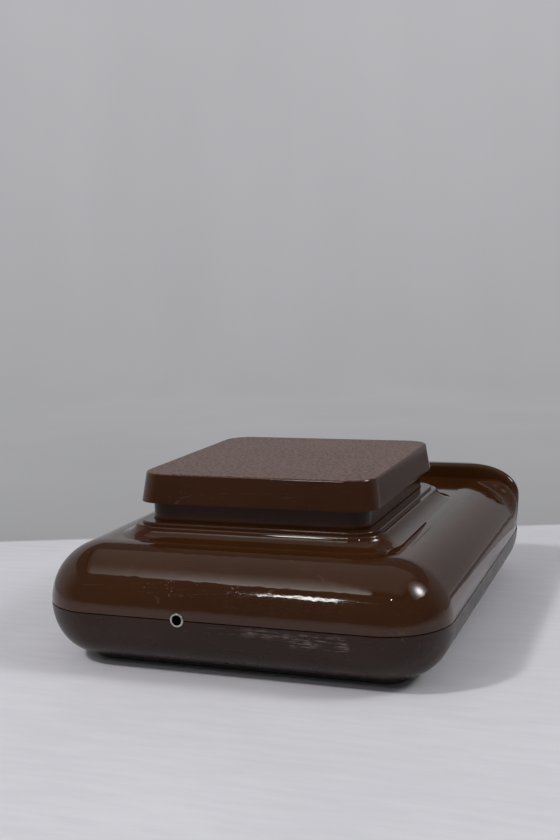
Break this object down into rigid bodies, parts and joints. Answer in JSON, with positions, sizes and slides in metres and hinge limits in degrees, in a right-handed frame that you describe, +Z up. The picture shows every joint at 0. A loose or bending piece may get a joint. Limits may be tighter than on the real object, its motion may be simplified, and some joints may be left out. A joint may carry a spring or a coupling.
{
  "type": "stereo viewer",
  "caption": "Table-top stereo transparency viewer: low rounded case, square eyepiece block under a lift-off lid, slide carrier at the side, battery cap at the rear.",
  "frame": {"origin": "middle of the bounding box in plan, at table level under the rubber pads", "axes": "+Z up, the supply socket looks along -Y, the slide carrier draws out along -X, the rear cap pulls off along +Y"},
  "size_m": [0.1484, 0.189, 0.066],
  "materials": {
    "case_gloss": "polished chocolate-brown moulding",
    "case_satin": "satin chocolate-brown moulding with light scuffs",
    "neck_brown": "glossy chocolate-brown moulding",
    "lid_brown": "glossy sides, fine-grained top",
    "carrier_brown": "satin dark brown",
    "base_black": "matt black",
    "pad_rubber": "matt black rubber",
    "screw_steel": "zinc plated",
    "lens_glass": "clear polished",
    "ring_black": "satin black",
    "felt": "black felt",
    "inner_black": "matt black",
    "holder_black": "satin black",
    "reflector_white": "matt white enamel",
    "opal": "opal, satin",
    "lamp_glass": "clear",
    "contact_brass": "plain",
    "contact_steel": "nickel plated",
    "cell_jacket": "plain printed steel jacket",
    "jack_nickel": "nickel plated"
  },
  "bodies": {
    "case": {"upper_shell": "case_gloss", "lower_shell": "case_satin", "base_plate": "base_black", "rubber_pads": "pad_rubber", "shell_screws": "screw_steel", "felt_seal": "felt", "film_gate": "inner_black", "septum": "inner_black", "reflector": "reflector_white", "diffuser": "opal", "lamp_holder_left": "holder_black", "lamp_holder_right": "holder_black", "lamp_left": "lamp_glass", "lamp_right": "lamp_glass", "lamp_base_left": "contact_brass", "lamp_base_right": "contact_brass", "battery_tray": "inner_black", "cell_left": "cell_jacket", "cell_right": "cell_jacket", "contact_plate": "contact_steel", "contact_spring": "contact_steel", "bus_strip_left": "contact_brass", "bus_strip_right": "contact_brass", "switch_body": "holder_black", "jack_bushing": "jack_nickel", "jack_nut": "jack_nickel", "jack_body": "holder_black"},
    "eyepiece": {"eyepiece_block": "neck_brown", "lens_left": "lens_glass", "lens_right": "lens_glass", "lens_ring_left": "ring_black", "lens_ring_right": "ring_black"},
    "lid": {"lid": "lid_brown"},
    "carrier": {"slide_carrier": "carrier_brown"},
    "cap": {"rear_cap": "case_gloss"},
    "switch_knob": {"switch_slider": "ring_black"}
  },
  "joints": [
    {"name": "focus_slide", "type": "slide", "parent": "case", "child": "eyepiece", "axis": [0, 0, 1], "range_m": [0, 0.0038]},
    {"name": "lid_lift", "type": "slide", "parent": "eyepiece", "child": "lid", "axis": [0, 0, 1], "range_m": [0, 0.03]},
    {"name": "carrier_draw", "type": "slide", "parent": "case", "child": "carrier", "axis": [-1, 0, 0], "range_m": [0, 0.125]},
    {"name": "cap_pull", "type": "slide", "parent": "case", "child": "cap", "axis": [0, 1, 0], "range_m": [0, 0.03]},
    {"name": "switch_throw", "type": "slide", "parent": "case", "child": "switch_knob", "axis": [0, 1, 0], "range_m": [0, 0.0044]}
  ]
}
